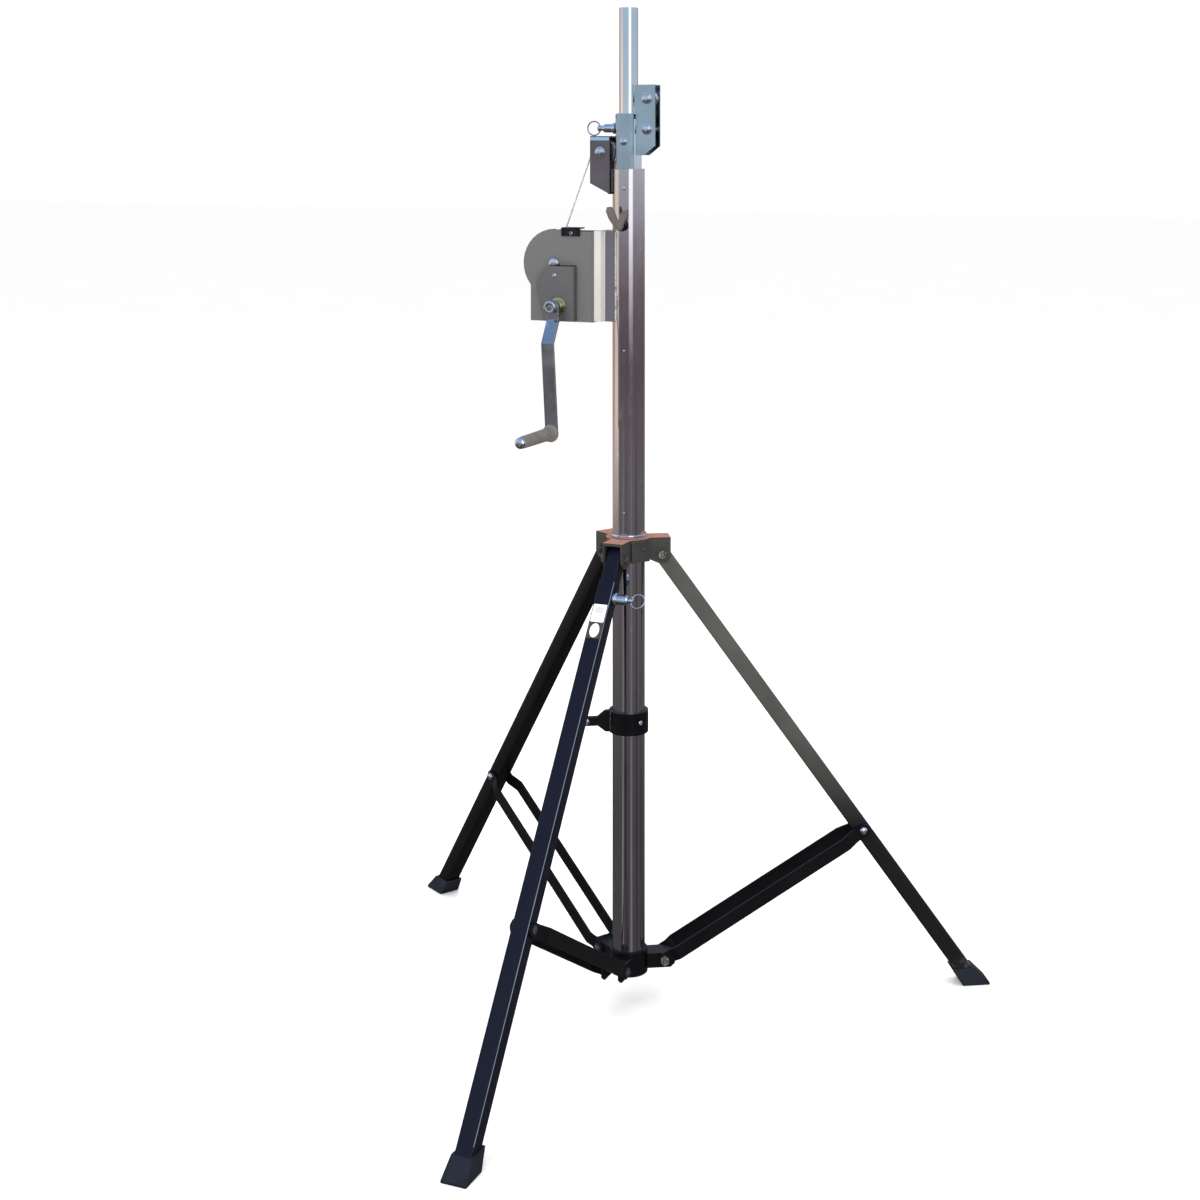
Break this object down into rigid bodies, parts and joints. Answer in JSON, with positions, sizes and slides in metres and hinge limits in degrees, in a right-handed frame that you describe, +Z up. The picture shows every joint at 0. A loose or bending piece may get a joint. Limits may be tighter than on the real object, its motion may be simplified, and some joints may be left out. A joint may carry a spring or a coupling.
{
  "type": "crank lighting stand",
  "caption": "Wind-up lighting stand: telescopic chrome mast with hand winch on a folding square-tube tripod with a levelling leg.",
  "frame": {"origin": "floor level, under the middle of the footprint bounding box; the mast axis stands at y = 0.1612 m", "axes": "+Z up along the mast, -Y towards the levelling leg and the crank, -X towards the winch"},
  "size_m": [1.205, 1.0436, 1.836],
  "materials": {
    "chrome": "bright chrome plate",
    "black_paint": "semi-gloss black powder coat",
    "zinc": "bright blue-white zinc plate",
    "winch_steel": "satin grey enamel",
    "steel": "oiled steel",
    "yellow_zinc": "yellow passivated zinc",
    "rubber": "moulded rubber",
    "grip_plastic": "moulded plastic",
    "rope": "galvanised wire rope",
    "nylon": "moulded nylon"
  },
  "bodies": {
    "base": {"mast_outer_tube": "chrome", "tripod_hub": "black_paint", "hub_bolt_front": "zinc", "hub_bolt_right": "zinc", "hub_bolt_rear": "zinc", "stop_clamp": "black_paint", "stop_clamp_bolt": "zinc", "lower_sheave_housing": "black_paint", "lower_sheave_bolt": "zinc", "winch_bracket": "winch_steel", "winch_frame": "winch_steel", "rope_guard": "black_paint", "winch_gear_cover": "winch_steel", "drum_axle": "zinc", "winch_rope": "rope", "mast_top_bush": "nylon", "wing_nut_boss": "black_paint"},
    "drum": {"winch_drum": "steel", "drum_gear": "steel"},
    "crank": {"pinion_shaft": "steel", "brake_ratchet": "steel", "brake_washer": "yellow_zinc", "crank_arm": "zinc", "crank_nut": "zinc", "grip_bolt": "zinc"},
    "grip": {"crank_grip": "grip_plastic"},
    "pawl": {"ratchet_pawl": "steel"},
    "lower_sheave": {"lower_sheave": "steel"},
    "wing_screw": {"wing_screw": "black_paint"},
    "middle_stage": {"mast_middle_tube": "chrome", "middle_foot_bush": "nylon", "middle_top_bush": "nylon", "upper_sheave_housing": "zinc", "upper_sheave_bolt": "zinc", "upper_spacer_bolt": "zinc", "lock_channel": "zinc", "mast_pin_barrel": "zinc"},
    "upper_sheave": {"upper_sheave": "steel"},
    "mast_pin": {"mast_pull_pin": "zinc"},
    "inner_stage": {"mast_inner_tube": "chrome"},
    "collar": {"leg_collar": "black_paint", "collar_ring": "chrome", "leg_bolt_front": "zinc", "leg_bolt_right": "zinc", "leg_bolt_rear": "zinc"},
    "leg_right": {"leg_right": "black_paint", "foot_right": "rubber"},
    "leg_rear": {"leg_rear": "black_paint", "foot_rear": "rubber"},
    "leg_front_upper": {"leg_front_upper": "black_paint"},
    "leg_front_lower": {"leg_front_lower": "black_paint", "foot_front": "rubber", "leg_pin_barrel": "zinc"},
    "leg_pin": {"leg_pull_pin": "zinc"},
    "brace_right": {"brace_right_a": "black_paint", "brace_right_b": "black_paint"},
    "brace_rear": {"brace_rear_a": "black_paint", "brace_rear_b": "black_paint"},
    "brace_front": {"brace_front_a": "black_paint", "brace_front_b": "black_paint"}
  },
  "joints": [
    {"name": "mast_raise", "type": "slide", "parent": "base", "child": "middle_stage", "axis": [0, 0, 1], "range_m": [0, 1.05]},
    {"name": "inner_raise", "type": "slide", "parent": "middle_stage", "child": "inner_stage", "axis": [0, 0, 1], "range_m": [0, 1.05]},
    {"name": "drum_turn", "type": "hinge", "parent": "base", "child": "drum", "pos_m": [-0.135, 0.16122, 1.362], "axis": [0, -1, 0], "range_deg": [0, 6020]},
    {"name": "crank_turn", "type": "hinge", "parent": "base", "child": "crank", "pos_m": [-0.1215, 0.10122, 1.28396], "axis": [0, 1, 0], "range_deg": [0, 15650]},
    {"name": "lower_sheave_turn", "type": "hinge", "parent": "base", "child": "lower_sheave", "pos_m": [-0.0495, 0.16122, 1.569], "axis": [0, -1, 0], "range_deg": [0, 5240]},
    {"name": "upper_sheave_turn", "type": "hinge", "parent": "middle_stage", "child": "upper_sheave", "pos_m": [0.042, 0.16122, 1.667], "axis": [0, 1, 0], "range_deg": [0, 4462]},
    {"name": "grip_spin", "type": "hinge", "parent": "crank", "child": "grip", "pos_m": [-0.10957, 0.00122, 1.05627], "axis": [0, 1, 0], "continuous": true},
    {"name": "pawl_lift", "type": "hinge", "parent": "base", "child": "pawl", "pos_m": [-0.139, 0.11922, 1.325], "axis": [0, 1, 0], "range_deg": [0, 22], "stiffness_Nm_per_rad": 0.02, "springref_deg": -11.46},
    {"name": "wing_screw_turn", "type": "hinge", "parent": "base", "child": "wing_screw", "pos_m": [0, 0.11322, 1.434], "axis": [0, -1, 0], "range_deg": [0, 270]},
    {"name": "mast_pin_pull", "type": "slide", "parent": "middle_stage", "child": "mast_pin", "axis": [-1, 0, 0], "range_m": [0, 0.009], "stiffness_N_per_m": 500, "springref_m": -0.004},
    {"name": "collar_fold", "type": "slide", "parent": "base", "child": "collar", "axis": [0, 0, 1], "range_m": [0, 0.33838]},
    {"name": "leg_front_fold", "type": "hinge", "parent": "collar", "child": "leg_front_upper", "pos_m": [0, 0.10122, 0.827], "axis": [1, 0, 0], "range_deg": [0, 35.79]},
    {"name": "brace_front_fold", "type": "hinge", "parent": "base", "child": "brace_front", "pos_m": [0, 0.09722, 0.079], "axis": [-1, 0, 0], "range_deg": [0, 60.18]},
    {"name": "leg_right_fold", "type": "hinge", "parent": "collar", "child": "leg_right", "pos_m": [0.05196, 0.19122, 0.827], "axis": [-0.5, 0.866, 0], "range_deg": [0, 35.79]},
    {"name": "brace_right_fold", "type": "hinge", "parent": "base", "child": "brace_right", "pos_m": [0.05543, 0.19322, 0.079], "axis": [0.5, -0.866, 0], "range_deg": [0, 60.18]},
    {"name": "leg_rear_fold", "type": "hinge", "parent": "collar", "child": "leg_rear", "pos_m": [-0.05196, 0.19122, 0.827], "axis": [-0.5, -0.866, 0], "range_deg": [0, 35.79]},
    {"name": "brace_rear_fold", "type": "hinge", "parent": "base", "child": "brace_rear", "pos_m": [-0.05543, 0.19322, 0.079], "axis": [0.5, 0.866, 0], "range_deg": [0, 60.18]},
    {"name": "leveller_slide", "type": "slide", "parent": "leg_front_upper", "child": "leg_front_lower", "axis": [0, 0.5847, 0.8113], "range_m": [-0.12, 0]},
    {"name": "leg_pin_pull", "type": "slide", "parent": "leg_front_lower", "child": "leg_pin", "axis": [1, 0, 0], "range_m": [0, 0.009], "stiffness_N_per_m": 500, "springref_m": -0.004}
  ],
  "couplings": [
    {"joint": "inner_raise", "follows": "mast_raise", "ratio": 1},
    {"joint": "drum_turn", "follows": "mast_raise", "rad_per_m": 100},
    {"joint": "crank_turn", "follows": "mast_raise", "rad_per_m": 260},
    {"joint": "lower_sheave_turn", "follows": "mast_raise", "rad_per_m": 86.957},
    {"joint": "upper_sheave_turn", "follows": "mast_raise", "rad_per_m": 74.074},
    {"joint": "leg_front_fold", "follows": "collar_fold", "rad_per_m": 1.8454},
    {"joint": "brace_front_fold", "follows": "collar_fold", "rad_per_m": 3.1033},
    {"joint": "leg_right_fold", "follows": "collar_fold", "rad_per_m": 1.8454},
    {"joint": "brace_right_fold", "follows": "collar_fold", "rad_per_m": 3.1033},
    {"joint": "leg_rear_fold", "follows": "collar_fold", "rad_per_m": 1.8454},
    {"joint": "brace_rear_fold", "follows": "collar_fold", "rad_per_m": 3.1033}
  ]
}
